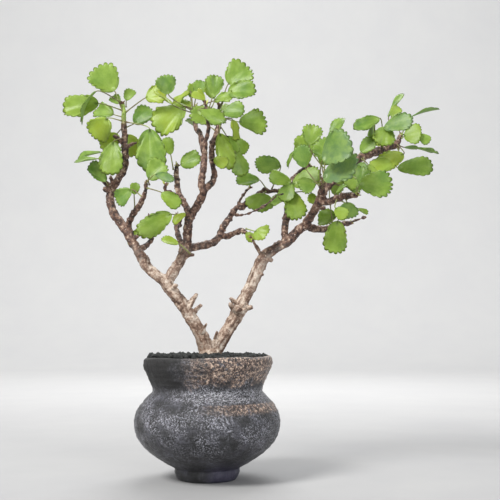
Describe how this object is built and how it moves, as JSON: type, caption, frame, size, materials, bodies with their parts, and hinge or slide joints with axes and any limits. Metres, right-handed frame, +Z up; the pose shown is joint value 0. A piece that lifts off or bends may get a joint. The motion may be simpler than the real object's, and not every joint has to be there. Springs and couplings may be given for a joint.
{
  "type": "potted succulent bonsai",
  "caption": "Small woody succulent with fan-shaped scalloped leaves, grown as a two-trunk bonsai in a dark stoneware urn pot topped with black gravel.",
  "frame": {"origin": "centre of the pot's flat foot, on the surface that the pot stands on", "axes": "+Z up along the pot's axis; -Y towards the plant's front; the longer arm of the plant reaches out along +X"},
  "size_m": [0.2395, 0.1066, 0.2656],
  "materials": {
    "stoneware": "dark unglazed stoneware with a mottled metallic sheen and rust-brown patches",
    "mesh_plastic": "matte black",
    "soil": "rough",
    "gravel": "rough black lava grit",
    "bark": "matte, pale and flaking below, red-brown above",
    "leaf_green": "satin fleshy leaf"
  },
  "bodies": {
    "root": {"pot": "stoneware", "drain_mesh": "mesh_plastic", "soil": "soil", "gravel_layer": "gravel", "stem": "bark", "leaf_burr_twig_1": "leaf_green", "leaf_crown_left_twig_1": "leaf_green", "leaf_crown_left_twig_2": "leaf_green", "leaf_crown_left_twig_3": "leaf_green", "leaf_crown_left_twig_4": "leaf_green", "leaf_crown_left_twig_5": "leaf_green", "leaf_crown_right_twig_1": "leaf_green", "leaf_crown_right_twig_2": "leaf_green", "leaf_crown_right_twig_3": "leaf_green", "leaf_crown_right_twig_4": "leaf_green", "leaf_crown_right_twig_5": "leaf_green", "leaf_crown_right_twig_6": "leaf_green", "leaf_crown_right_twig_7": "leaf_green", "leaf_crown_right_twig_8": "leaf_green", "leaf_far_right_limb_1": "leaf_green", "leaf_far_right_limb_2": "leaf_green", "leaf_far_right_limb_3": "leaf_green", "leaf_far_right_limb_4": "leaf_green", "leaf_far_right_limb_5": "leaf_green", "leaf_far_right_limb_6": "leaf_green", "leaf_far_right_limb_7": "leaf_green", "leaf_far_right_limb_8": "leaf_green", "leaf_far_right_limb_9": "leaf_green", "leaf_left_back_twig_1": "leaf_green", "leaf_left_inner_twig_1": "leaf_green", "leaf_left_inner_twig_2": "leaf_green", "leaf_left_inner_twig_3": "leaf_green", "leaf_left_limb_1": "leaf_green", "leaf_left_limb_10": "leaf_green", "leaf_left_limb_11": "leaf_green", "leaf_left_limb_2": "leaf_green", "leaf_left_limb_3": "leaf_green", "leaf_left_limb_4": "leaf_green", "leaf_left_limb_5": "leaf_green", "leaf_left_limb_6": "leaf_green", "leaf_left_limb_7": "leaf_green", "leaf_left_limb_8": "leaf_green", "leaf_left_limb_9": "leaf_green", "leaf_low_limb_1": "leaf_green", "leaf_low_limb_2": "leaf_green", "leaf_low_limb_3": "leaf_green", "leaf_low_stub_1": "leaf_green", "leaf_middle_left_twig_1": "leaf_green", "leaf_middle_left_twig_2": "leaf_green", "leaf_right_back_twig_1": "leaf_green", "leaf_right_back_twig_2": "leaf_green", "leaf_right_front_twig_1": "leaf_green", "leaf_right_front_twig_2": "leaf_green", "leaf_right_inner_twig_1": "leaf_green", "leaf_right_inner_twig_2": "leaf_green", "leaf_right_inner_twig_3": "leaf_green", "leaf_right_inner_twig_4": "leaf_green", "leaf_right_low_twig_1": "leaf_green", "leaf_right_low_twig_2": "leaf_green"}
  },
  "joints": []
}
